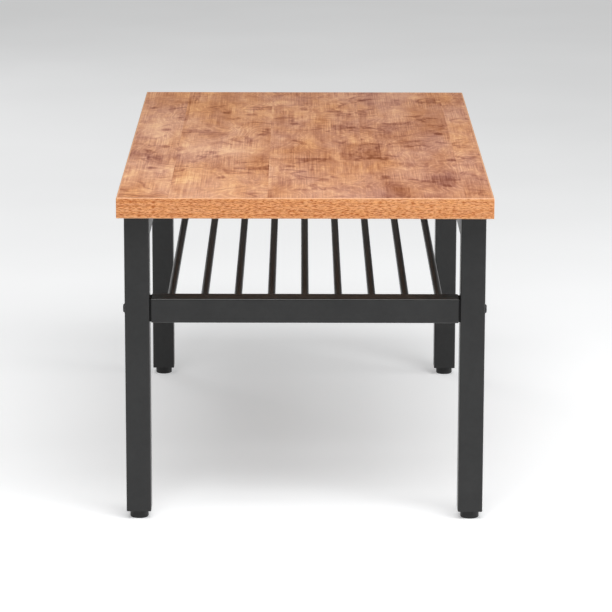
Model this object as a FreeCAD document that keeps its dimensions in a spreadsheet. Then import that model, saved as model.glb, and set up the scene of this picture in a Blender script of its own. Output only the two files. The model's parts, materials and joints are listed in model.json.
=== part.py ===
# Coffee table: a thick laminated board on a frame of square steel tube, with a wire shelf.
# All sizes are in millimetres. The origin lies on the floor under the middle of the table.
# +Z is up, the long side of the table runs along Y, and its front end faces -Y.

import FreeCAD, Part
import math
import os
import re
import Sketcher
from FreeCAD import Placement, Rotation, Vector

os.makedirs("parts", exist_ok=True)
doc = FreeCAD.newDocument("CoffeeTable")

# Driving dimensions
sizes = {
    # Whole table
    "boardWidth": 450.0,
    "boardLength": 800.0,
    "tableHeight": 403.0,
    # Board: a particle board core between a printed laminate and a backing sheet, edged with bands
    "boardThickness": 25.0,
    "laminateThickness": 0.8,
    "backingThickness": 0.6,
    "bandThickness": 2.0,
    "bandArris": 1.0,
    # Square steel tube of the whole frame, and how far the board stands out past the legs
    "tubeSide": 30.0,
    "tubeWall": 1.5,
    "tubeCorner": 2.0,
    "tubeEndBreak": 0.5,
    "sideOverhang": 8.0,
    "endOverhang": 20.0,
    # Shelf: height of its rails' top faces, and the rods between the rails
    "shelfHeight": 276.0,
    "rodDiameter": 9.5,
    "rodDrop": 3.0,
    "rodEndMargin": 22.5,
    # Plastic plugs in the ends of the shelf rails, each with a nut moulded in and a square flange
    # that keeps the rail clear of the leg and lies back a little from the rail's faces
    "shelfFlangeThickness": 2.0,
    "shelfFlangeInset": 1.0,
    "shelfNutSetback": 6.0,
    "shelfNutSize": 10.0,
    "shelfNutThickness": 5.0,
    "shelfPlugTail": 7.0,
    # Bolts of the shelf and screws of the board: one diameter and one head
    "boltDiameter": 6.0,
    "boltHeadDiameter": 11.0,
    "boltHeadHeight": 2.4,
    "boltHeadRound": 1.8,
    "boltSocketSize": 4.0,
    "boltSocketDepth": 1.6,
    "boltTip": 2.5,
    "boltTipChamfer": 0.8,
    # Threaded inserts in the board, and the screws that reach into them
    "insertDiameter": 9.5,
    "insertLength": 13.0,
    "insertHoleSpare": 1.0,
    "screwEngagement": 10.0,
    "screwEndMargin": 70.0,
    # Plugs in the lower ends of the legs, each with a nut moulded in
    "legNutSetback": 4.0,
    "legNutSize": 13.0,
    "legNutThickness": 6.5,
    "legPlugTail": 3.5,
    # Levelling feet: a moulded pad on a threaded stud
    "footHeight": 10.0,
    "padDiameter": 22.5,
    "padRound": 1.5,
    "padFloor": 2.2,
    "studDiameter": 8.0,
    "studHeadSize": 13.0,
    "studHeadThickness": 4.0,
    "studTravel": 8.0,
    "studTipChamfer": 1.0,
    # Clearances, each measured on one side
    "plugGap": 0.1,
    "mouldGap": 0.05,
    "threadClearance": 0.05,
    "boltHoleClearance": 0.25,
    "insertGap": 0.05,
    # Length by which a cut runs past the solid it cuts
    "cutOverrun": 1.0,
}

# Sizes and places that follow from the driving dimensions
derived = {
    "boardUnder": "tableHeight - boardThickness",
    "legX": "boardWidth / 2 - sideOverhang - tubeSide / 2",
    "legY": "boardLength / 2 - endOverhang - tubeSide / 2",
    "legLength": "boardUnder - footHeight",
    "tubeInside": "tubeSide - 2 * tubeWall",
    "tubeInsideCorner": "max(tubeCorner - tubeWall; tubeWall / 3)",
    "railLength": "2 * legY - tubeSide",
    "apronZ": "boardUnder - tubeSide / 2",
    "shelfRailZ": "shelfHeight - tubeSide / 2",
    "shelfRailHalf": "legX - tubeSide / 2 - shelfFlangeThickness",
    "rodZ": "shelfHeight - rodDrop - rodDiameter / 2",
    "rodSpanHalf": "shelfRailHalf - rodEndMargin",
    "coreThickness": "boardThickness - laminateThickness - backingThickness",
    "screwSpanHalf": "railLength / 2 - screwEndMargin",
    "boltHole": "boltDiameter + 2 * boltHoleClearance",
    "shelfNutEnd": "shelfNutSetback + shelfNutThickness",
    "shelfPlugDepth": "shelfNutEnd + shelfPlugTail",
    "shelfBoltReach": "tubeSide + shelfFlangeThickness + shelfNutEnd + boltTip",
    "screwReach": "tubeSide + screwEngagement",
    "legPlugHeight": "legNutSetback + legNutThickness + legPlugTail",
    "studReach": "legPlugHeight + studTravel",
    "studHeadTop": "padFloor + studHeadThickness + mouldGap",
}

# Counts, and places given as shares of the half span that they follow
rodCount = 9
screwPlaceShares = (-1, 0, 1)

sheet = doc.addObject("Spreadsheet::Sheet", "Sizes")
for row, (alias, number) in enumerate(sizes.items(), start=1):
    sheet.set(f"A{row}", alias)
    sheet.set(f"B{row}", str(number))
    sheet.setAlias(f"B{row}", alias)
doc.recompute()


def inSheet(text):
    # Writes a formula of size names as one that points at the sheet's cells
    def cell(match):
        word = match.group()
        if word in derived:
            return "(" + inSheet(derived[word]) + ")"
        return "Sizes." + word if word in sizes else word

    return re.sub(r"[A-Za-z]+", cell, text)


def value(text):
    return float(sheet.evalExpression(inSheet(text)))


def bind(target, name, text):
    target.setExpression(name, inSheet(text))


def bindPlace(target, name, x, y, z):
    for axis, text in zip("xyz", (x, y, z)):
        bind(target, f"{name}.Base.{axis}", text)


def originFeature(body, role):
    return next(item for item in body.Origin.OriginFeatures if item.Role == role)


def newBody(label):
    body = doc.addObject("PartDesign::Body", label)
    body.Label = label
    return body


def attach(feature, body, plane, offset):
    feature.AttachmentSupport = (originFeature(body, plane), [""])
    feature.MapMode = "FlatFace"
    bindPlace(feature, "AttachmentOffset", *offset)
    return feature


def newSketch(body, plane, offset=("0", "0", "0")):
    return attach(body.newObject("Sketcher::SketchObject", "Outline"), body, plane, offset)


def constrain(sketch, *items):
    return sketch.addConstraint(Sketcher.Constraint(*items))


def dimension(sketch, text, *items):
    index = constrain(sketch, *items, value(text))
    bind(sketch, f"Constraints[{index}]", text)


def rectangle(sketch, width, depth):
    # Rectangle centred on the sketch's origin
    right = value(width) / 2
    top = value(depth) / 2
    corners = [Vector(-right, -top), Vector(right, -top), Vector(right, top), Vector(-right, top)]
    first = sketch.GeometryCount
    for index in range(4):
        sketch.addGeometry(Part.LineSegment(corners[index], corners[(index + 1) % 4]))
    for index in range(4):
        constrain(sketch, "Coincident", first + index, 2, first + (index + 1) % 4, 1)
    for side in (0, 2):
        constrain(sketch, "Horizontal", first + side)
        constrain(sketch, "Vertical", first + side + 1)
    constrain(sketch, "Symmetric", first, 1, first + 2, 1, -1, 1)
    dimension(sketch, width, "DistanceX", first, 1, first, 2)
    dimension(sketch, depth, "DistanceY", first + 1, 1, first + 1, 2)


def roundedSquare(sketch, side, corner):
    # Square centred on the sketch's origin, with its corners rounded
    half = value(side) / 2
    radius = value(corner)
    middle = half - radius
    normal = Vector(0, 0, 1)
    first = sketch.GeometryCount
    for quarter in range(4):
        turn = Rotation(normal, 90 * quarter)
        start = turn.multVec(Vector(-middle, -half))
        end = turn.multVec(Vector(middle, -half))
        sketch.addGeometry(Part.LineSegment(start, end))
        bow = Part.Circle(turn.multVec(Vector(middle, -middle)), normal, radius)
        angles = (math.radians(90 * (quarter - 1)), math.radians(90 * quarter))
        sketch.addGeometry(Part.ArcOfCircle(bow, *angles))
    for quarter in range(4):
        line = first + 2 * quarter
        following = first + 2 * ((quarter + 1) % 4)
        constrain(sketch, "Tangent", line, 2, line + 1, 1)
        constrain(sketch, "Tangent", line + 1, 2, following, 1)
        constrain(sketch, "Horizontal" if quarter % 2 == 0 else "Vertical", line)
        if quarter:
            constrain(sketch, "Equal", first + 1, line + 1)
    constrain(sketch, "Symmetric", first, 1, first + 4, 1, -1, 1)
    dimension(sketch, corner, "Radius", first + 1)
    dimension(sketch, side, "DistanceX", first + 6, 1, first + 2, 1)
    dimension(sketch, side, "DistanceY", first, 1, first + 4, 1)


def circle(sketch, diameter, x="0", y="0"):
    place = Vector(value(x), value(y))
    index = sketch.addGeometry(Part.Circle(place, Vector(0, 0, 1), value(diameter) / 2))
    dimension(sketch, diameter, "Diameter", index)
    for kind, text, offset, axis in (("DistanceX", x, place.x, -2), ("DistanceY", y, place.y, -1)):
        if offset > 0:
            dimension(sketch, text, kind, -1, 1, index, 3)
        elif offset < 0:
            dimension(sketch, f"-({text})", kind, index, 3, -1, 1)
        else:
            constrain(sketch, "PointOnObject", index, 3, axis)


def pad(body, sketch, length, side="One side"):
    feature = body.newObject("PartDesign::Pad", "Extrusion")
    feature.Profile = sketch
    feature.SideType = side
    bind(feature, "Length", length)
    return feature


def checkCut(feature):
    # A cut that points away from the solid removes nothing and would pass unseen
    doc.recompute()
    if feature.Shape.Volume >= feature.BaseFeature.Shape.Volume:
        raise ValueError(f"{feature.Name} cuts nothing")


def cutThrough(body, sketch):
    feature = body.newObject("PartDesign::Pocket", "Hole")
    feature.Profile = sketch
    feature.Type = "ThroughAll"
    feature.SideType = "Symmetric"
    checkCut(feature)


def cutUpwards(body, sketch, depth):
    feature = body.newObject("PartDesign::Pocket", "BlindHole")
    feature.Profile = sketch
    feature.Reversed = True
    bind(feature, "Length", depth)
    checkCut(feature)


def cylinder(body, action, diameter, height, plane="XY_Plane", offset=("0", "0", "0")):
    feature = attach(body.newObject(f"PartDesign::{action}Cylinder", "Round"), body, plane, offset)
    bind(feature, "Radius", f"({diameter}) / 2")
    bind(feature, "Height", height)
    if action == "Subtractive":
        checkCut(feature)


def hexagon(body, action, acrossFlats, height, plane="XY_Plane", offset=("0", "0", "0")):
    feature = attach(body.newObject(f"PartDesign::{action}Prism", "Hexagon"), body, plane, offset)
    feature.Polygon = 6
    bind(feature, "Circumradius", f"({acrossFlats}) / (2 * cos(30 deg))")
    bind(feature, "Height", height)
    if action == "Subtractive":
        checkCut(feature)


def dressEdges(body, kind, size, chooses):
    # Rounds or chamfers the edges of the body so far that the chooser picks
    doc.recompute()
    base = body.Tip
    names = [f"Edge{index}" for index, edge in enumerate(base.Shape.Edges, 1) if chooses(edge)]
    feature = body.newObject(f"PartDesign::{kind}", kind)
    feature.Base = (base, names)
    bind(feature, "Radius" if kind == "Fillet" else "Size", size)


def lies(item, axis, text):
    # True for an edge or face that lies in the plane where the coordinate has this value
    low = getattr(item.BoundBox, axis + "Min")
    high = getattr(item.BoundBox, axis + "Max")
    tolerance = item.Length * 1e-6
    return abs(low - value(text)) < tolerance and abs(high - value(text)) < tolerance


def repeatWhole(body, kind, settings):
    # Repeats everything in the body so far; a repeat reads its base's shape as it is made
    doc.recompute()
    feature = body.newObject(f"PartDesign::{kind}", kind)
    feature.TransformMode = "Whole shape"
    for name, setting in settings.items():
        setattr(feature, name, setting)
    body.Tip = feature
    return feature


def mirrorWhole(body, *planes):
    for plane in planes:
        repeatWhole(body, "Mirrored", {"MirrorPlane": (originFeature(body, plane), [""])})


# Board


def screwPlaces():
    # The screws stand in one row along each long side of the frame
    return [(f"{side} * legX", f"{share} * screwSpanHalf") for side in (-1, 1) for share in screwPlaceShares]


def makeBoardLayer(label, thickness, z, holeDiameter=None, holeDepth=None):
    body = newBody(label)
    bindPlace(body, "Placement", "0", "0", z)
    sketch = newSketch(body, "XY_Plane")
    rectangle(sketch, "boardWidth - 2 * bandThickness", "boardLength - 2 * bandThickness")
    pad(body, sketch, thickness)
    if holeDiameter:
        holes = newSketch(body, "XY_Plane")
        for x, y in screwPlaces():
            circle(holes, holeDiameter, x, y)
        if holeDepth:
            cutUpwards(body, holes, holeDepth)
        else:
            cutThrough(body, holes)


def makeEndBand(label, side):
    # The bands of the two ends run over the full width and cover the side bands' ends
    body = newBody(label)
    bindPlace(body, "Placement", "0", f"{side} * (boardLength - bandThickness) / 2", "boardUnder")
    sketch = newSketch(body, "XY_Plane")
    rectangle(sketch, "boardWidth", "bandThickness")
    pad(body, sketch, "boardThickness")

    def outer(edge):
        upright = edge.BoundBox.ZLength > value("bandThickness")
        atEnd = lies(edge, "X", "boardWidth / 2") or lies(edge, "X", "-boardWidth / 2")
        return lies(edge, "Y", f"{side} * bandThickness / 2") or (atEnd and not upright)

    dressEdges(body, "Fillet", "bandArris", outer)


def makeSideBand(label, side):
    body = newBody(label)
    bindPlace(body, "Placement", f"{side} * (boardWidth - bandThickness) / 2", "0", "boardUnder")
    sketch = newSketch(body, "XY_Plane")
    rectangle(sketch, "bandThickness", "boardLength - 2 * bandThickness")
    pad(body, sketch, "boardThickness")

    def outer(edge):
        along = edge.BoundBox.YLength > value("bandThickness")
        return along and lies(edge, "X", f"{side} * bandThickness / 2")

    dressEdges(body, "Fillet", "bandArris", outer)


def makeBoard():
    insertHole = "insertDiameter + 2 * insertGap"
    insertDepth = "insertLength - backingThickness + insertHoleSpare"
    makeBoardLayer("top_backing", "backingThickness", "boardUnder", insertHole)
    makeBoardLayer("top_core", "coreThickness", "boardUnder + backingThickness", insertHole, insertDepth)
    makeBoardLayer("top_laminate", "laminateThickness", "tableHeight - laminateThickness")
    makeEndBand("edge_band_front", -1)
    makeEndBand("edge_band_back", 1)
    makeSideBand("edge_band_left", -1)
    makeSideBand("edge_band_right", 1)


# Frame


def makeTube(label, plane, length, side):
    body = newBody(label)
    sketch = newSketch(body, plane)
    roundedSquare(sketch, "tubeSide", "tubeCorner")
    roundedSquare(sketch, "tubeInside", "tubeInsideCorner")
    pad(body, sketch, length, side)
    return body


def makeLeg(label, sideX, sideY):
    body = makeTube(label, "XY_Plane", "legLength", "One side")
    bindPlace(body, "Placement", f"{sideX} * legX", f"{sideY} * legY", "footHeight")
    hole = newSketch(body, "YZ_Plane")
    circle(hole, "boltHole", "0", "shelfRailZ - footHeight")
    cutThrough(body, hole)


def makeApronRail(label, side):
    body = makeTube(label, "XZ_Plane", "railLength", "Symmetric")
    bindPlace(body, "Placement", f"{side} * legX", "0", "apronZ")
    holes = newSketch(body, "XY_Plane")
    for share in screwPlaceShares:
        circle(holes, "boltHole", "0", f"{share} * screwSpanHalf")
    cutThrough(body, holes)


def makeShelfRail(label, side):
    body = makeTube(label, "YZ_Plane", "2 * shelfRailHalf", "Symmetric")
    bindPlace(body, "Placement", "0", f"{side} * legY", "shelfRailZ")

    doc.recompute()
    places = ("shelfRailHalf", "-shelfRailHalf")
    ends = [face for face in body.Tip.Shape.Faces if any(lies(face, "X", place) for place in places)]
    rims = [edge for face in ends for edge in face.OuterWire.Edges]
    dressEdges(body, "Fillet", "tubeEndBreak", lambda edge: any(edge.isSame(rim) for rim in rims))


def makeRod(label, share):
    body = newBody(label)
    bindPlace(body, "Placement", f"{share} * rodSpanHalf", "0", "rodZ")
    sketch = newSketch(body, "XZ_Plane")
    circle(sketch, "rodDiameter")
    pad(body, sketch, "railLength", "Symmetric")


def makeFrame():
    for nameY, sideY in (("front", -1), ("back", 1)):
        for nameX, sideX in (("left", -1), ("right", 1)):
            makeLeg(f"leg_{nameY}_{nameX}", sideX, sideY)
        makeShelfRail(f"shelf_rail_{nameY}", sideY)
    makeApronRail("apron_rail_left", -1)
    makeApronRail("apron_rail_right", 1)
    for index in range(rodCount):
        makeRod(f"shelf_rod_{index + 1}", 2 * index / (rodCount - 1) - 1)


# Plugs in the tubes' ends


def makeShelfPlug(label, sideX, sideY):
    # Built pointing along +X: the flange between leg and rail, then the body inside the rail
    body = newBody(label)
    body.Placement = Placement(Vector(), Rotation(Vector(0, 0, 1), 90 + 90 * sideX))
    bindPlace(body, "Placement", f"{sideX} * (legX - tubeSide / 2)", f"{sideY} * legY", "shelfRailZ")
    flange = newSketch(body, "YZ_Plane")
    roundedSquare(flange, "tubeSide - 2 * shelfFlangeInset", "tubeCorner")
    pad(body, flange, "shelfFlangeThickness")
    stem = newSketch(body, "YZ_Plane", ("0", "0", "shelfFlangeThickness"))
    roundedSquare(stem, "tubeInside - 2 * plugGap", "tubeInsideCorner")
    pad(body, stem, "shelfPlugDepth")
    nutPlace = ("0", "0", "shelfFlangeThickness + shelfNutSetback - mouldGap")
    nutSpace = "shelfNutThickness + 2 * mouldGap"
    hexagon(body, "Subtractive", "shelfNutSize + 2 * mouldGap", nutSpace, "YZ_Plane", nutPlace)
    bore = newSketch(body, "YZ_Plane")
    circle(bore, "boltHole")
    cutThrough(body, bore)


def makeShelfPlugNuts():
    body = newBody("shelf_plug_nuts")
    place = ("-legY", "shelfRailZ", "-shelfRailHalf + shelfNutSetback")
    before = ("-legY", "shelfRailZ", "-shelfRailHalf + shelfNutSetback - cutOverrun")
    hexagon(body, "Additive", "shelfNutSize", "shelfNutThickness", "YZ_Plane", place)
    thread = "boltDiameter + 2 * threadClearance"
    cylinder(body, "Subtractive", thread, "shelfNutThickness + 2 * cutOverrun", "YZ_Plane", before)
    mirrorWhole(body, "YZ_Plane", "XZ_Plane")


def makeLegPlug(label, sideX, sideY):
    body = newBody(label)
    bindPlace(body, "Placement", f"{sideX} * legX", f"{sideY} * legY", "footHeight")
    stem = newSketch(body, "XY_Plane")
    roundedSquare(stem, "tubeInside - 2 * plugGap", "tubeInsideCorner")
    pad(body, stem, "legPlugHeight")
    nutPlace = ("0", "0", "legNutSetback - mouldGap")
    nutSpace = "legNutThickness + 2 * mouldGap"
    hexagon(body, "Subtractive", "legNutSize + 2 * mouldGap", nutSpace, offset=nutPlace)
    bore = newSketch(body, "XY_Plane")
    circle(bore, "studDiameter + 2 * boltHoleClearance")
    cutThrough(body, bore)


def makeLegPlugNuts():
    body = newBody("leg_plug_nuts")
    place = ("-legX", "-legY", "footHeight + legNutSetback")
    below = ("-legX", "-legY", "footHeight + legNutSetback - cutOverrun")
    hexagon(body, "Additive", "legNutSize", "legNutThickness", offset=place)
    thread = "studDiameter + 2 * threadClearance"
    cylinder(body, "Subtractive", thread, "legNutThickness + 2 * cutOverrun", offset=below)
    mirrorWhole(body, "YZ_Plane", "XZ_Plane")


# Bolts, screws and inserts


def makeBolt(body, reach, plane, x, y, seat):
    # Head below the seat plane and shank above it, along the normal of the given plane
    headFace = f"{seat} - boltHeadHeight"
    axis = {"XY_Plane": "Z", "YZ_Plane": "X"}[plane]
    cylinder(body, "Additive", "boltHeadDiameter", "boltHeadHeight", plane, (x, y, headFace))
    dressEdges(body, "Fillet", "boltHeadRound", lambda edge: lies(edge, axis, headFace))
    cylinder(body, "Additive", "boltDiameter", reach, plane, (x, y, seat))
    dressEdges(body, "Chamfer", "boltTipChamfer", lambda edge: lies(edge, axis, f"{seat} + {reach}"))
    socketPlace = (x, y, f"{headFace} - cutOverrun")
    hexagon(body, "Subtractive", "boltSocketSize", "boltSocketDepth + cutOverrun", plane, socketPlace)


def makeShelfBolts():
    body = newBody("shelf_bolts")
    makeBolt(body, "shelfBoltReach", "YZ_Plane", "-legY", "shelfRailZ", "-legX - tubeSide / 2")
    mirrorWhole(body, "YZ_Plane", "XZ_Plane")


def makeTopScrews():
    body = newBody("top_screws")
    makeBolt(body, "screwReach", "XY_Plane", "-legX", "-screwSpanHalf", "apronZ - tubeSide / 2")
    along = (originFeature(body, "Y_Axis"), [""])
    row = repeatWhole(body, "LinearPattern", {"Direction": along, "Occurrences": len(screwPlaceShares)})
    bind(row, "Length", "2 * screwSpanHalf")
    mirrorWhole(body, "YZ_Plane")


def makeTopInserts():
    body = newBody("top_inserts")
    bindPlace(body, "Placement", "0", "0", "boardUnder")
    sketch = newSketch(body, "XY_Plane")
    for x, y in screwPlaces():
        circle(sketch, "insertDiameter", x, y)
        circle(sketch, "boltDiameter + 2 * threadClearance", x, y)
    pad(body, sketch, "insertLength")


# Levelling feet


def makeFootPad(label, sideX, sideY):
    body = newBody(label)
    bindPlace(body, "Placement", f"{sideX} * legX", f"{sideY} * legY", "0")
    cylinder(body, "Additive", "padDiameter", "footHeight")
    dressEdges(body, "Fillet", "padRound", lambda edge: lies(edge, "Z", "0"))
    headPlace = ("0", "0", "padFloor - mouldGap")
    headSpace = "studHeadThickness + 2 * mouldGap"
    hexagon(body, "Subtractive", "studHeadSize + 2 * mouldGap", headSpace, offset=headPlace)
    above = "footHeight - studHeadTop + cutOverrun"
    cylinder(body, "Subtractive", "studDiameter + 2 * mouldGap", above, offset=("0", "0", "studHeadTop"))


def makeFootStud(label, sideX, sideY):
    body = newBody(label)
    bindPlace(body, "Placement", f"{sideX} * legX", f"{sideY} * legY", "0")
    hexagon(body, "Additive", "studHeadSize", "studHeadThickness", offset=("0", "0", "padFloor"))
    shank = "footHeight - padFloor + studReach"
    cylinder(body, "Additive", "studDiameter", shank, offset=("0", "0", "padFloor"))
    dressEdges(body, "Chamfer", "studTipChamfer", lambda edge: lies(edge, "Z", "footHeight + studReach"))


makeBoard()
makeFrame()
for nameY, sideY in (("front", -1), ("back", 1)):
    for nameX, sideX in (("left", -1), ("right", 1)):
        corner = f"{nameY}_{nameX}"
        makeShelfPlug(f"shelf_plug_{corner}", sideX, sideY)
        makeLegPlug(f"leg_plug_{corner}", sideX, sideY)
        makeFootPad(f"foot_pad_{corner}", sideX, sideY)
        makeFootStud(f"foot_stud_{corner}", sideX, sideY)
makeShelfPlugNuts()
makeLegPlugNuts()
makeShelfBolts()
makeTopScrews()
makeTopInserts()
doc.recompute()

# Every object has to be sound before any file is written
for item in doc.Objects:
    if {"Invalid", "Error"} & set(item.State):
        raise RuntimeError(f"{item.Name} of {item.Label} failed: {item.State}")
bodies = [item for item in doc.Objects if item.TypeId == "PartDesign::Body"]
for body in bodies:
    if body.Shape.isNull() or not body.Shape.isValid():
        raise RuntimeError(f"{body.Label} has no valid shape")

for body in bodies:
    body.Shape.exportStep(os.path.join("parts", f"{body.Label}.step"))
    print(f"{body.Label}: {len(body.Shape.Solids)} solid(s), {body.Shape.Volume:.1f} mm3")
print(f"{len(bodies)} sub-parts")
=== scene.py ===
import bmesh
import bpy
import json
import math
from mathutils import Matrix, Vector


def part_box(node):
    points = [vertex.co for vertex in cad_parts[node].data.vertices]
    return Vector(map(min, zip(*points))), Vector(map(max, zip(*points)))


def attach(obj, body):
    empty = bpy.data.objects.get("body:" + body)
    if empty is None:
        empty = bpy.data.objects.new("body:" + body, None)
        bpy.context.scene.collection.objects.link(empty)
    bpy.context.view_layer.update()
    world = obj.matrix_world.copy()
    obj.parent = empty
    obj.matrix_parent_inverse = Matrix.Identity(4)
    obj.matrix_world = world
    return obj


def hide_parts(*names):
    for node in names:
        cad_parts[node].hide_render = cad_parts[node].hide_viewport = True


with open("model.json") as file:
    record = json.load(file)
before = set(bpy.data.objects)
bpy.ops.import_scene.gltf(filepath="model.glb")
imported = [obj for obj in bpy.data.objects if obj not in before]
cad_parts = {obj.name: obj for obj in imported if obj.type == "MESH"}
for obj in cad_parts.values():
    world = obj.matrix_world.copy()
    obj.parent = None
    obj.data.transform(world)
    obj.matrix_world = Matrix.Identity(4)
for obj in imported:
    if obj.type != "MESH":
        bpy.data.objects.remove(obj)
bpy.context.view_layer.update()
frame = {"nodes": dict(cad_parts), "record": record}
nodes = frame["nodes"]
mm = 0.001
noiseMean = 0.5
corners = [f"{end}_{side}" for end in ("front", "back") for side in ("left", "right")]
print("frame loaded,", len(nodes), "nodes")


def toLinear(hexColour):
    # sRGB hex to the linear numbers that a shader takes
    shares = [int(hexColour[place:place + 2], 16) / 255 for place in (1, 3, 5)]
    linear = [share / 12.92 if share <= 0.04045 else ((share + 0.055) / 1.055) ** 2.4 for share in shares]
    return linear + [1]


def evenStops(colours):
    # Spreads colours evenly over a ramp
    return [(index / (len(colours) - 1), colour) for index, colour in enumerate(colours)]


def addNode(tree, kind, settings=None, links=None):
    # A setting names a property or an input, the stops of a ramp, or the size in mm of a pattern.
    # A link names an input and what feeds it: a node's first output, or a node with the output's name
    node = tree.nodes.new("ShaderNode" + kind)

    def findInput(name):
        if isinstance(name, int):
            return node.inputs[name]
        return next(socket for socket in node.inputs if socket.enabled and socket.name == name)

    for name, setting in (settings or {}).items():
        if name == "stops":
            points = node.color_ramp.elements
            while len(points) < len(setting):
                points.new(1)
            for point, (place, colour) in zip(points, setting):
                point.position = place
                point.color = toLinear(colour)
        elif name == "size":
            findInput("Scale").default_value = 1 / setting
        elif isinstance(name, str) and hasattr(node, name):
            setattr(node, name, setting)
        else:
            findInput(name).default_value = setting
    for name, source in (links or {}).items():
        if isinstance(source, tuple):
            output = source[0].outputs[source[1]]
        else:
            output = next(socket for socket in source.outputs if socket.enabled)
        tree.links.new(output, findInput(name))
    return node


def newMaterial(name):
    # The third result is the place on the piece in mm, as modelled, so that a pattern moves with its piece
    material = bpy.data.materials.new(name)
    material.use_nodes = True
    tree = material.node_tree
    tree.nodes.clear()
    spot = addNode(tree, "TexCoord")
    place = addNode(tree, "VectorMath", {"operation": "SCALE", "Scale": 1 / mm}, {0: (spot, "Object")})
    return material, tree, place


# Printed laminate of the top. Sizes are in mm across the table, along it and up

laminate = {
    "plankWidth": 118,
    "plankShift": 1343,  # a change by whole planks gives them other tones and grain
    "plankSpread": 70,
    "stripWidth": 29,
    "stripOffset": 90,
    "stripSpread": 700,
    "stripFlow": (0.15, 1, 0),  # a strip's tone changes along the table, and hardly across it
    "strips": {"size": 170, "Detail": 3},
    "driftSize": (60, 80, 60),
    "drift": {"Scale": 1, "Detail": 4},
    "wander": 20,
    "knotSpacing": (88, 130, 1),
    "knotShare": 0.4,
    "noises": {
        "grain": ((42, 210, 60), {"Detail": 6, "Roughness": 0.84, "Distortion": 0.25}),
        "cloud": ((85, 230, 60), {"Detail": 1, "Roughness": 0.5, "Distortion": 0.6}),
        "cross": ((66, 44, 60), {"Detail": 5, "Roughness": 0.8, "Distortion": 0.8}),
        "fibre": ((26, 14, 60), {"Detail": 1, "Roughness": 0.6, "Distortion": 0}),
        "smudge": ((52, 60, 60), {"Detail": 3, "Roughness": 0.6, "Distortion": 1}),
        "stroke": ((90, 62, 40), {"Detail": 2, "Roughness": 0.5, "Distortion": 0.9}),
        "strokePlace": ((60, 75, 40), {"Detail": 2, "Roughness": 0.5, "Distortion": 0}),
        "curl": ((80, 130, 90), {"Detail": 2, "Roughness": 0.5, "Distortion": 0.5}),
        "sawn": ((1.8, 120, 60), {"Detail": 1, "Roughness": 0.7, "Distortion": 0}),
        "sawnPlace": ((40, 70, 60), {"Detail": 2, "Roughness": 0.5, "Distortion": 0}),
        "hue": ((80, 260, 60), {"Detail": 4, "Roughness": 0.6, "Distortion": 0}),
    },
    "tone": 0.567,
    "paintedLightFall": 0.00025,  # painted light: the top darkens by this much per mm from left to right, standing in for more light on the left
    "weights": {"plank": 0.14, "strip": 0.1, "cloud": 0.5, "grain": 1.45, "cross": 0.29, "fibre": 0.2},
    "growthLines": 130,  # a higher number draws them closer together
    "growthCrest": 0.1,
    "growthWeight": 0.2,
    # A mark fades in while its level goes from the first number to the second, and the third is its depth
    "marks": {
        "sawnPlace": (0.3, 0.7, 0.9),
        "strokePlace": (0.5, 0.58, 1),
        "stroke": (0.045, 0.008, 0.3),
        "smudge": (0.57, 0.73, 0.3),
        "knot": (0.1, 0.03, 0.4),
        "darkStrip": (0.6, 0.65, 0.18),
        "paleStrip": (0.39, 0.33, -0.16),
    },
    "warm": ("#914c17", "#b26e45", "#d08d60", "#edac77", "#ffcb8d"),
    "rosy": ("#894c3a", "#aa6f5c", "#c88e75", "#e5ac8b", "#fecba1"),
    "rosyShare": {"From Min": 0.36, "From Max": 0.64},
    "bump": {"Strength": 0.15, "Distance": 0.05 * mm},
    "surface": {"Roughness": 0.5, "IOR": 1.5},
}


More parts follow.
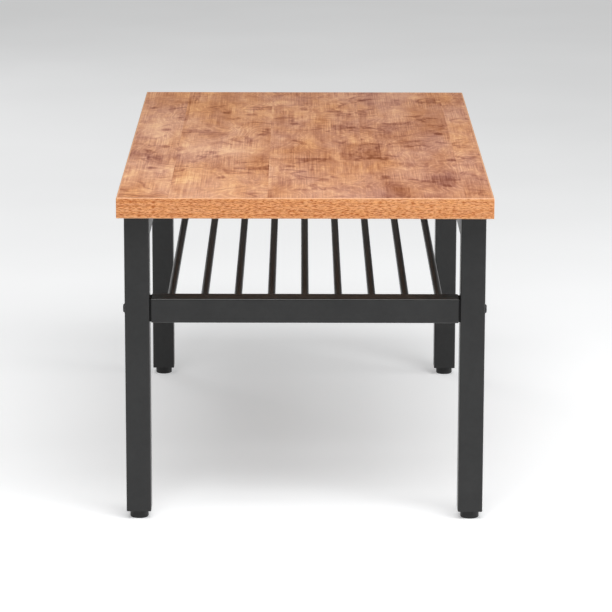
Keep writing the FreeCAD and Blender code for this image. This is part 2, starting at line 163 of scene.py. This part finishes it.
def makeLaminate():
    # Melamine resin laminate, paper printed with a rustic plank pattern and pressed satin:
    # the eye gets warm grain that shifts at straight seams, dark curly strokes, knots and fine sawn lines
    material, tree, place = newMaterial("melamineLaminatePressed")
    parts = addNode(tree, "SeparateXYZ", {}, {0: place})

    # Each plank has its own part of the pattern, and so has each narrower strip of a plank
    chances = []
    shifts = []
    across = addNode(tree, "Math", {"operation": "ADD", 1: laminate["plankShift"]}, {0: (parts, "X")})
    for width, spread in (("plankWidth", "plankSpread"), ("stripWidth", "stripSpread")):
        if chances:
            # The strips start at another place in each plank
            offset = {"operation": "MULTIPLY_ADD", 1: laminate["stripOffset"]}
            across = addNode(tree, "Math", offset, {0: chances[0], 2: across})
        number = addNode(tree, "Math", {"operation": "DIVIDE", 1: laminate[width]}, {0: across})
        number = addNode(tree, "Math", {"operation": "FLOOR"}, {0: number})
        chance = addNode(tree, "TexWhiteNoise", {"noise_dimensions": "1D"}, {"W": number})
        shift = {"operation": "SCALE", "Scale": laminate[spread]}
        chances.append(chance)
        shifts.append(addNode(tree, "VectorMath", shift, {0: (chance, "Color")}))
    own = addNode(tree, "VectorMath", {"operation": "ADD"}, {0: place, 1: shifts[0]})
    strip = addNode(tree, "VectorMath", {"operation": "MULTIPLY", 1: laminate["stripFlow"]}, {0: place})
    strip = addNode(tree, "VectorMath", {"operation": "ADD"}, {0: strip, 1: shifts[1]})
    strips = addNode(tree, "TexNoise", laminate["strips"], {"Vector": strip})

    # The grain wanders, and all but the sawn lines follow it
    drift = addNode(tree, "VectorMath", {"operation": "DIVIDE", 1: laminate["driftSize"]}, {0: own})
    drift = addNode(tree, "TexNoise", laminate["drift"], {"Vector": drift})
    drift = addNode(tree, "VectorMath", {"operation": "SUBTRACT", 1: [noiseMean] * 3}, {0: (drift, "Color")})
    drift = addNode(tree, "VectorMath", {"operation": "SCALE", "Scale": laminate["wander"]}, {0: drift})
    curled = addNode(tree, "VectorMath", {"operation": "ADD"}, {0: own, 1: drift})
    levels = {"plank": chances[0], "strip": chances[1], "darkStrip": strips, "paleStrip": strips}
    for name, (size, settings) in laminate["noises"].items():
        at = own if name == "sawn" else curled
        at = addNode(tree, "VectorMath", {"operation": "DIVIDE", 1: size}, {0: at})
        levels[name] = addNode(tree, "TexNoise", {"Scale": 1} | settings, {"Vector": at})

    # A stroke is a short stretch of a level line, wide where the noise is flat, and a knot a small dark spot
    stroke = addNode(tree, "Math", {"operation": "SUBTRACT", 1: noiseMean}, {0: levels["stroke"]})
    levels["stroke"] = addNode(tree, "Math", {"operation": "ABSOLUTE"}, {0: stroke})
    at = addNode(tree, "VectorMath", {"operation": "DIVIDE", 1: laminate["knotSpacing"]}, {0: curled})
    knots = addNode(tree, "TexVoronoi", {"voronoi_dimensions": "2D", "Scale": 1}, {"Vector": at})
    levels["knot"] = knots
    marks = {}
    for name, (low, high, depth) in laminate["marks"].items():
        fade = {"interpolation_type": "SMOOTHSTEP", "From Min": low, "From Max": high, "To Max": depth}
        marks[name] = addNode(tree, "MapRange", fade, {"Value": levels[name]})
    chance = addNode(tree, "SeparateXYZ", {}, {0: (knots, "Color")})
    chosen = addNode(tree, "Math", {"operation": "LESS_THAN", 1: laminate["knotShare"]}, {0: chance})
    for name, limit in (("stroke", marks["strokePlace"]), ("knot", chosen)):
        marks[name] = addNode(tree, "Math", {"operation": "MULTIPLY"}, {0: marks[name], 1: limit})

    # Pale growth lines run along the levels of a slow noise, and show where the sawn lines don't
    lines = addNode(tree, "Math", {"operation": "MULTIPLY", 1: laminate["growthLines"]}, {0: levels["curl"]})
    lines = addNode(tree, "Math", {"operation": "SINE"}, {0: lines})
    fade = {"From Min": laminate["growthCrest"], "To Max": laminate["growthWeight"]}
    lines = addNode(tree, "MapRange", fade, {"Value": lines})
    clear = addNode(tree, "Math", {"operation": "SUBTRACT", 0: 1}, {1: marks["sawnPlace"]})
    tone = addNode(tree, "Math", {"operation": "MULTIPLY_ADD", 2: laminate["tone"]}, {0: lines, 1: clear})

    # The tone adds up from the place across the table, which paints light falling more on the left, the
    # noises and the marks
    paintedFalloff = {"operation": "MULTIPLY_ADD", 1: -laminate["paintedLightFall"]}
    tone = addNode(tree, "Math", paintedFalloff, {0: (parts, "X"), 2: tone})
    for name, weight in laminate["weights"].items():
        level = addNode(tree, "Math", {"operation": "SUBTRACT", 1: noiseMean}, {0: levels[name]})
        tone = addNode(tree, "Math", {"operation": "MULTIPLY_ADD", 1: weight}, {0: level, 2: tone})
    sawn = addNode(tree, "Math", {"operation": "SUBTRACT", 1: noiseMean}, {0: levels["sawn"]})
    tone = addNode(tree, "Math", {"operation": "MULTIPLY_ADD"}, {0: sawn, 1: marks["sawnPlace"], 2: tone})
    for name in ("stroke", "smudge", "knot", "darkStrip", "paleStrip"):
        tone = addNode(tree, "Math", {"operation": "SUBTRACT"}, {0: tone, 1: marks[name]})

    # Two scales of brown share the surface
    warm = addNode(tree, "ValToRGB", {"stops": evenStops(laminate["warm"])}, {"Fac": tone})
    rosy = addNode(tree, "ValToRGB", {"stops": evenStops(laminate["rosy"])}, {"Fac": tone})
    share = addNode(tree, "MapRange", laminate["rosyShare"], {"Value": levels["hue"]})
    colour = addNode(tree, "Mix", {"data_type": "RGBA"}, {"Factor": share, "A": warm, "B": rosy})
    bump = addNode(tree, "Bump", laminate["bump"], {"Height": levels["sawn"]})
    shader = addNode(tree, "BsdfPrincipled", laminate["surface"], {"Base Color": colour, "Normal": bump})
    addNode(tree, "OutputMaterial", {}, {"Surface": shader})
    return material


# Edge band. Sizes are in mm along the band and up

band = {
    "arrisWidth": 1,
    # painted highlight: the pale colour of the top and bottom edges, partly the scraped trim
    "arrisPaleAndHighlight": "#f0b68b",
    "noise": {"Scale": 1, "Detail": 2, "Roughness": 0.6, "Distortion": 0.4},
    "sizes": {"pore": (5.5, 0.8), "stripe": (500, 3), "cloud": (45, 11), "hue": (20, 3)},
    "tone": 0.92,
    "pores": {"From Min": 0.46, "From Max": 0.6, "To Max": 0.94},
    "weights": {"stripe": 1.4, "cloud": 0.15},
    "deep": ("#b85a17", "#d27b3e", "#e59a5a", "#f7b174"),
    "pale": ("#b45b20", "#ce7c47", "#e19a63", "#f3b17e"),
    "paleShare": {"From Min": 0.36, "From Max": 0.64},
    "bump": {"Strength": 0.2, "Distance": 0.05 * mm},
    "surface": {"Roughness": 0.32, "IOR": 1.5},
}


def makeEdgeBand():
    # ABS edge band, extruded and printed with oak grain: short darker pores and long stripes lie along
    # the board's edge, and its top and bottom edges are painted paler, partly for the scraped trim and
    # partly as a painted highlight
    material, tree, place = newMaterial("absBandPrinted")
    parts = addNode(tree, "SeparateXYZ", {}, {0: place})
    along = addNode(tree, "Math", {"operation": "ADD"}, {0: (parts, "X"), 1: (parts, "Y")})
    flat = addNode(tree, "CombineXYZ", {}, {"X": along, "Z": (parts, "Z")})
    levels = {}
    for name, (length, height) in band["sizes"].items():
        at = addNode(tree, "VectorMath", {"operation": "DIVIDE", 1: (length, length, height)}, {0: flat})
        levels[name] = addNode(tree, "TexNoise", band["noise"], {"Vector": at})
    pores = addNode(tree, "MapRange", band["pores"], {"Value": levels["pore"]})
    tone = addNode(tree, "Math", {"operation": "SUBTRACT", 0: band["tone"]}, {1: pores})
    for name, weight in band["weights"].items():
        level = addNode(tree, "Math", {"operation": "SUBTRACT", 1: noiseMean}, {0: levels[name]})
        tone = addNode(tree, "Math", {"operation": "MULTIPLY_ADD", 1: weight}, {0: level, 2: tone})
    deep = addNode(tree, "ValToRGB", {"stops": evenStops(band["deep"])}, {"Fac": tone})
    pale = addNode(tree, "ValToRGB", {"stops": evenStops(band["pale"])}, {"Fac": tone})
    share = addNode(tree, "MapRange", band["paleShare"], {"Value": levels["hue"]})
    colour = addNode(tree, "Mix", {"data_type": "RGBA"}, {"Factor": share, "A": deep, "B": pale})

    # The top and bottom edges are painted paler: partly the scraped trim, partly a painted highlight on the
    # rounded arris
    low, high = (corner[2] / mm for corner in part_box("edge_band_front"))
    middle = addNode(tree, "Math", {"operation": "SUBTRACT", 1: (low + high) / 2}, {0: (parts, "Z")})
    away = addNode(tree, "Math", {"operation": "ABSOLUTE"}, {0: middle})
    arris = (high - low) / 2 - band["arrisWidth"]
    fade = {"From Min": arris, "From Max": arris + band["arrisWidth"] / 2}
    scrapedAndHighlit = addNode(tree, "MapRange", fade, {"Value": away})
    edge = {"data_type": "RGBA", "B": toLinear(band["arrisPaleAndHighlight"])}
    colour = addNode(tree, "Mix", edge, {"Factor": scrapedAndHighlit, "A": colour})
    bump = addNode(tree, "Bump", band["bump"], {"Height": tone})
    shader = addNode(tree, "BsdfPrincipled", band["surface"], {"Base Color": colour, "Normal": bump})
    addNode(tree, "OutputMaterial", {}, {"Surface": shader})
    return material


# Core and backing sheet of the top

chips = {
    "flakes": {"size": 3.5},
    "colours": ("#a67c52", "#c9a476", "#dcc096"),
    "bump": {"Strength": 0.5, "Distance": 0.3 * mm},
    "surface": {"Roughness": 0.85, "IOR": 1.5},
}


def makeParticleBoard():
    # Particle board, pressed from wood chips: a coarse mix of pale and brown flakes
    material, tree, place = newMaterial("particleBoardPressed")
    flakes = addNode(tree, "TexVoronoi", chips["flakes"], {"Vector": place})
    tone = addNode(tree, "SeparateXYZ", {}, {0: (flakes, "Color")})
    colour = addNode(tree, "ValToRGB", {"stops": evenStops(chips["colours"])}, {"Fac": tone})
    bump = addNode(tree, "Bump", chips["bump"], {"Height": flakes})
    shader = addNode(tree, "BsdfPrincipled", chips["surface"], {"Base Color": colour, "Normal": bump})
    addNode(tree, "OutputMaterial", {}, {"Surface": shader})
    return material


backing = {
    "fibreSize": (0.8, 14, 5),
    "fibres": {"Scale": 1, "Detail": 2},
    "clouds": {"size": 60, "Detail": 3},
    "stops": ((0.35, "#755238"), (0.65, "#93694a")),
    "bump": {"Strength": 0.2, "Distance": 0.05 * mm},
    "surface": {"Roughness": 0.6, "IOR": 1.5},
}


def makeBackingPaper():
    # Backing sheet, resin-filled brown paper: nearly even, with fine fibres and soft clouds.
    # The fibres are drawn coarser than real ones, which would be too fine to show
    material, tree, place = newMaterial("backingPaperPressed")
    at = addNode(tree, "VectorMath", {"operation": "DIVIDE", 1: backing["fibreSize"]}, {0: place})
    fibres = addNode(tree, "TexNoise", backing["fibres"], {"Vector": at})
    clouds = addNode(tree, "TexNoise", backing["clouds"], {"Vector": place})
    tone = addNode(tree, "Math", {"operation": "ADD"}, {0: fibres, 1: clouds})
    tone = addNode(tree, "Math", {"operation": "MULTIPLY", 1: 0.5}, {0: tone})
    colour = addNode(tree, "ValToRGB", {"stops": backing["stops"]}, {"Fac": tone})
    bump = addNode(tree, "Bump", backing["bump"], {"Height": fibres})
    shader = addNode(tree, "BsdfPrincipled", backing["surface"], {"Base Color": colour, "Normal": bump})
    addNode(tree, "OutputMaterial", {}, {"Surface": shader})
    return material


# Powder coat of the frame

coat = {
    "orangePeel": {"size": 1.4, "Detail": 2},
    "clouds": {"size": 55, "Detail": 6, "Roughness": 0.8},
    "stops": ((0.3, "#0e0e0e"), (0.7, "#232323")),
    "roughness": {"To Min": 0.26, "To Max": 0.34},
    "bump": {"Strength": 0.25, "Distance": 0.1 * mm},
    "surface": {"IOR": 1.5},
}


def makePowderCoat():
    # Polyester powder coat, sprayed and baked on steel: satin black with a faint orange peel and soft clouds
    material, tree, place = newMaterial("powderCoatBaked")
    peel = addNode(tree, "TexNoise", coat["orangePeel"], {"Vector": place})
    clouds = addNode(tree, "TexNoise", coat["clouds"], {"Vector": place})
    colour = addNode(tree, "ValToRGB", {"stops": coat["stops"]}, {"Fac": clouds})
    rough = addNode(tree, "MapRange", coat["roughness"], {"Value": clouds})
    bump = addNode(tree, "Bump", coat["bump"], {"Height": peel})
    links = {"Base Color": colour, "Roughness": rough, "Normal": bump}
    shader = addNode(tree, "BsdfPrincipled", coat["surface"], links)
    addNode(tree, "OutputMaterial", {}, {"Surface": shader})
    return material


# Moulded plastic and black plating, which have a fine even grain

# Polypropylene of the feet's pads, moulded in a spark-eroded tool: fine matt grain
padMoulding = {
    "grain": {"size": 0.5, "Detail": 3},  # coarser than the real one, which would be too fine to show
    "stops": ((0.3, "#121212"), (0.7, "#1a1a1a")),
    "bump": {"Strength": 0.25, "Distance": 0.05 * mm},
    "surface": {"Roughness": 0.5, "IOR": 1.49},
}

# Soft polyethylene of the plugs, moulded without polish: black and quite matt, with the black painted
# darker still as painted shade, so a plug reads as a shaded gap
plugMouldingAndShade = {
    "grain": {"size": 0.8, "Detail": 3},  # coarser than the real one, which would be too fine to show
    "stops": ((0.3, "#070707"), (0.7, "#0c0c0c")),
    # painted shade: a black darker than the plastic alone, for the shade in the gap
    "bump": {"Strength": 0.25, "Distance": 0.05 * mm},
    "surface": {"Roughness": 0.7, "IOR": 1.5, "Specular IOR Level": 0.25},
}

# Black passivated zinc, plated on the shelf bolts: dark metal, softly bright on a dome
blackPlate = {
    "grain": {"size": 0.6, "Detail": 3},  # coarser than real crystals, which would be too fine to show
    "stops": ((0.3, "#2c2c2e"), (0.7, "#3a3a3d")),
    "bump": {"Strength": 0.2, "Distance": 0.03 * mm},
    "surface": {"Metallic": 1, "Roughness": 0.32},
}


def makeGrained(name, finish):
    # The grain shows a little in the colour and in the relief
    material, tree, place = newMaterial(name)
    grain = addNode(tree, "TexNoise", finish["grain"], {"Vector": place})
    colour = addNode(tree, "ValToRGB", {"stops": finish["stops"]}, {"Fac": grain})
    bump = addNode(tree, "Bump", finish["bump"], {"Height": grain})
    shader = addNode(tree, "BsdfPrincipled", finish["surface"], {"Base Color": colour, "Normal": bump})
    addNode(tree, "OutputMaterial", {}, {"Surface": shader})
    return material


# Zinc plating of the screws, inserts, nuts and studs

zincPlate = {
    "crystals": {"size": 1.2},  # coarser than real crystals, which would be too fine to show
    "colours": ("#b9bcc0", "#d4d6d8"),
    "roughness": {"To Min": 0.28, "To Max": 0.38},
    "surface": {"Metallic": 1},
}


def makeZinc():
    # Bright zinc, plated on steel: pale metal with a faint crystal cloud
    material, tree, place = newMaterial("brightZincPlated")
    crystals = addNode(tree, "TexVoronoi", zincPlate["crystals"], {"Vector": place})
    tone = addNode(tree, "SeparateXYZ", {}, {0: (crystals, "Color")})
    colour = addNode(tree, "ValToRGB", {"stops": evenStops(zincPlate["colours"])}, {"Fac": tone})
    rough = addNode(tree, "MapRange", zincPlate["roughness"], {"Value": (tone, "Y")})
    links = {"Base Color": colour, "Roughness": rough}
    shader = addNode(tree, "BsdfPrincipled", zincPlate["surface"], links)
    addNode(tree, "OutputMaterial", {}, {"Surface": shader})
    return material


materials = {
    "printed_laminate": makeLaminate(),
    "edge_band": makeEdgeBand(),
    "particle_board": makeParticleBoard(),
    "backing_sheet": makeBackingPaper(),
    "powder_coat": makePowderCoat(),
    "plug_plastic": makeGrained("polyethylenePaintedShade", plugMouldingAndShade),
    "pad_plastic": makeGrained("polypropyleneMoulded", padMoulding),
    "black_zinc": makeGrained("blackZincPlated", blackPlate),
    "zinc": makeZinc(),
}
for part in frame["record"]["subparts"]:
    shown = nodes[part["node"]].data.materials
    shown.clear()
    shown.append(materials[part["material_slot"]])
print("materials made:", len(materials))


# Weld beads

weld = {
    "bead": 1.3 * mm,
    "hollowShares": (0.3, 0.62),
    "bury": 0.25 * mm,
    "ripple": 0.16,
    "ripplePitch": 1.1 * mm,
    "step": 0.35 * mm,
    "endInset": 2 * mm,
    "endTaper": 0.25,  # a straight bead starts at this share of its size and gains it again in each step
}


def addPiece(name, build, body, slot):
    # The build function fills a bmesh; the piece gets its slot's material and rides on the body
    mesh = bpy.data.meshes.new(name)
    shape = bmesh.new()
    build(shape)
    bmesh.ops.recalc_face_normals(shape, faces=shape.faces)
    shape.to_mesh(mesh)
    shape.free()
    mesh.materials.append(materials[slot])
    piece = bpy.data.objects.new(name, mesh)
    bpy.context.scene.collection.objects.link(piece)
    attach(piece, body)
    return piece


def addLoops(shape, loops, closed):
    # Joins rings of points with faces; an open row of rings gets an end cap at each end
    rings = [[shape.verts.new(point) for point in loop] for loop in loops]
    count = len(rings[0])
    for index in range(len(rings) if closed else len(rings) - 1):
        here = rings[index]
        following = rings[(index + 1) % len(rings)]
        for side in range(count):
            other = (side + 1) % count
            face = shape.faces.new((here[side], here[other], following[other], following[side]))
            face.smooth = True
    if not closed:
        shape.faces.new(rings[0])
        shape.faces.new(rings[-1])


def beadSection(along):
    # Distances out along the one wall and the other: a fillet with a slightly hollow face
    bead = weld["bead"] * (1 + weld["ripple"] * math.sin(2 * math.pi * along / weld["ripplePitch"]))
    near, far = (share * bead for share in weld["hollowShares"])
    bury = -weld["bury"]
    return [(bury, bead), (near, far), (far, near), (bead, bury), (bury, bury)]


def makeRodWelds(end, outward):
    # A bead runs round each rod where it meets the rail's inner face
    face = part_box(f"shelf_rail_{end}")[1 if outward < 0 else 0][1]
    rods = [name for name in nodes if name.startswith("shelf_rod_")]

    def build(shape):
        for rod in rods:
            low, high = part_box(rod)
            middle = ((low[0] + high[0]) / 2, (low[2] + high[2]) / 2)
            radius = (high[0] - low[0]) / 2
            count = round(2 * math.pi * radius / weld["step"])
            loops = []
            for index in range(count):
                angle = 2 * math.pi * index / count
                loops.append([(middle[0] + (radius + out) * math.cos(angle), face - outward * along,
                               middle[1] + (radius + out) * math.sin(angle))
                              for out, along in beadSection(angle * radius)])
            addLoops(shape, loops, True)

    addPiece(f"rod_welds_{end}", build, "table", "powder_coat")


def makeApronWelds(side):
    # The faces that show are ground flush; a bead stays along the underside of each joint
    low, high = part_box(f"apron_rail_{side}")
    inset = weld["endInset"]
    length = high[0] - low[0] - 2 * inset

    def build(shape):
        for end in (low[1], high[1]):
            outward = 1 if end > 0 else -1
            count = round(length / weld["step"])
            loops = []
            for index in range(count + 1):
                along = length * index / count
                taper = min(1, weld["endTaper"] * (1 + min(index, count - index)))
                loops.append([(low[0] + inset + along, end - outward * back * taper, low[2] - down * taper)
                              for down, back in beadSection(along)])
            addLoops(shape, loops, False)

    addPiece(f"apron_welds_{side}", build, "table", "powder_coat")


makeRodWelds("front", -1)
makeRodWelds("back", 1)
makeApronWelds("left")
makeApronWelds("right")
print("weld beads made")


# Threaded studs of the feet

stud = {
    "radius": 4 * mm,
    "pitch": 1.25 * mm,
    "threadDepth": 0.6 * mm,
    "sides": 32,
    "stepsPerTurn": 6,
    "headSides": 6,
    "headHeight": 4 * mm,
    "tip": 1 * mm,
}


def makeFootStud(corner):
    # The hexagon head sits in the pad; the thread shows when the foot is screwed out
    low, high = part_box(f"foot_stud_{corner}")
    middle = ((low[0] + high[0]) / 2, (low[1] + high[1]) / 2)
    headRadius = (high[0] - low[0]) / 2

    def ring(count, z, radiusAt):
        return [(middle[0] + radiusAt(turn) * math.cos(turn), middle[1] + radiusAt(turn) * math.sin(turn), z)
                for turn in (2 * math.pi * index / count for index in range(count))]

    def build(shape):
        headEnds = (low[2], low[2] + stud["headHeight"])
        addLoops(shape, [ring(stud["headSides"], z, lambda turn: headRadius) for z in headEnds], False)
        start = low[2] + stud["headHeight"] / 2
        count = math.ceil((high[2] - start) / stud["pitch"] * stud["stepsPerTurn"])
        loops = []
        for index in range(count + 1):
            z = start + (high[2] - start) * index / count
            tip = max(0, z - high[2] + stud["tip"])

            def threadRadius(turn):
                phase = (z / stud["pitch"] - turn / (2 * math.pi)) % 1
                return stud["radius"] - tip - stud["threadDepth"] * abs(2 * phase - 1)

            loops.append(ring(stud["sides"], z, threadRadius))
        addLoops(shape, loops, False)

    piece = addPiece(f"threaded_stud_{corner}", build, f"foot_{corner}", "zinc")
    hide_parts(f"foot_stud_{corner}")


for corner in corners:
    makeFootStud(corner)
print("threaded studs made")


# Floor

sweep = {
    "width": 60,
    "clouds": {"size": 400, "Detail": 2},
    "stops": ((0.3, "#e3e4e5"), (0.7, "#e6e7e8")),
    "surface": {"Roughness": 0.9, "Specular IOR Level": 0.2},
    "glow": 0.46,
}


def makeFloor():
    # White paper sweep, matt and nearly even. The glow that the camera and reflections see makes it
    # pale and lights nothing
    mesh = bpy.data.meshes.new("floor")
    half = sweep["width"] / 2
    points = [(-half, -half, 0), (half, -half, 0), (half, half, 0), (-half, half, 0)]
    mesh.from_pydata(points, [], [(0, 1, 2, 3)])
    floor = bpy.data.objects.new("floor", mesh)
    bpy.context.scene.collection.objects.link(floor)
    material, tree, place = newMaterial("paperSweep")
    clouds = addNode(tree, "TexNoise", sweep["clouds"], {"Vector": place})
    colour = addNode(tree, "ValToRGB", {"stops": sweep["stops"]}, {"Fac": clouds})
    paper = addNode(tree, "BsdfPrincipled", sweep["surface"], {"Base Color": colour})
    rays = addNode(tree, "LightPath")
    seen = (rays, "Is Camera Ray")
    for kind in ("Is Glossy Ray", "Is Transmission Ray"):
        seen = addNode(tree, "Math", {"operation": "MAXIMUM"}, {0: seen, 1: (rays, kind)})
    strength = addNode(tree, "Math", {"operation": "MULTIPLY", 1: sweep["glow"]}, {0: seen})
    glow = addNode(tree, "Emission", {}, {"Color": colour, "Strength": strength})
    both = addNode(tree, "AddShader", {}, {0: paper, 1: glow})
    addNode(tree, "OutputMaterial", {}, {"Surface": both})
    mesh.materials.append(material)


# Light

studio = {
    "horizonColour": "#827f7c",
    "skyColour": "#c6c5c3",
    "light": 0.45,
    "softboxes": {
        "key": {"place": (0.5, -1.9, 2.6), "width": 3, "height": 1.2, "power": 66},
        "overhead": {"place": (0, -1, 3), "width": 2.6, "height": 0.7, "power": 23},
        "right": {"place": (2.6, -0.3, 0.9), "width": 1.6, "height": 1.2, "power": 20},
        "back": {"place": (-1.8, 2.8, 1.4), "width": 1.3, "height": 1.3, "power": 11},
    },
    "aim": (0, 0, 0.3),
}


def makeWorld():
    # A studio's walls are dimmer than its ceiling
    world = bpy.data.worlds.new("studio")
    bpy.context.scene.world = world
    world.use_nodes = True
    tree = world.node_tree
    tree.nodes.clear()
    direction = addNode(tree, "TexCoord")
    parts = addNode(tree, "SeparateXYZ", {}, {0: direction})
    stops = evenStops((studio["horizonColour"], studio["skyColour"]))
    colour = addNode(tree, "ValToRGB", {"stops": stops}, {"Fac": (parts, "Z")})
    light = addNode(tree, "Background", {"Strength": studio["light"]}, {"Color": colour})
    addNode(tree, "OutputWorld", {}, {"Surface": light})


def makeSoftboxes():
    # Two wide ones over the front light the top; the right and the back one give the tubes their edges
    for name, box in studio["softboxes"].items():
        lamp = bpy.data.lights.new(name, "AREA")
        lamp.shape = "RECTANGLE"
        lamp.size = box["width"]
        lamp.size_y = box["height"]
        lamp.energy = box["power"]
        lampObject = bpy.data.objects.new(name, lamp)
        bpy.context.scene.collection.objects.link(lampObject)
        towards = (Vector(studio["aim"]) - Vector(box["place"])).to_track_quat("-Z", "Y")
        lampObject.matrix_world = Matrix.Translation(box["place"]) @ towards.to_matrix().to_4x4()


# Camera, where the photo's perspective puts it. The angles are in degrees

view = {
    "focalLength": 191.37,
    "sensorWidth": 36,
    "place": (-0.006, -4.195, 1.1344),
    "tiltDown": 12.805,
    "turn": -0.109,
    "roll": 0.132,
}


def makeCamera():
    lens = bpy.data.cameras.new("camera")
    lens.sensor_width = view["sensorWidth"]
    lens.lens = view["focalLength"]
    camera = bpy.data.objects.new("camera", lens)
    bpy.context.scene.collection.objects.link(camera)
    turn = Matrix.Rotation(math.radians(view["turn"]), 4, "Z")
    tilt = Matrix.Rotation(math.radians(90 - view["tiltDown"]), 4, "X")
    roll = Matrix.Rotation(math.radians(view["roll"]), 4, "Z")
    camera.matrix_world = Matrix.Translation(view["place"]) @ turn @ tilt @ roll
    bpy.context.scene.camera = camera


makeFloor()
makeWorld()
makeSoftboxes()
makeCamera()
bpy.context.scene.view_settings.view_transform = "Standard"
print("floor, light and camera ready")
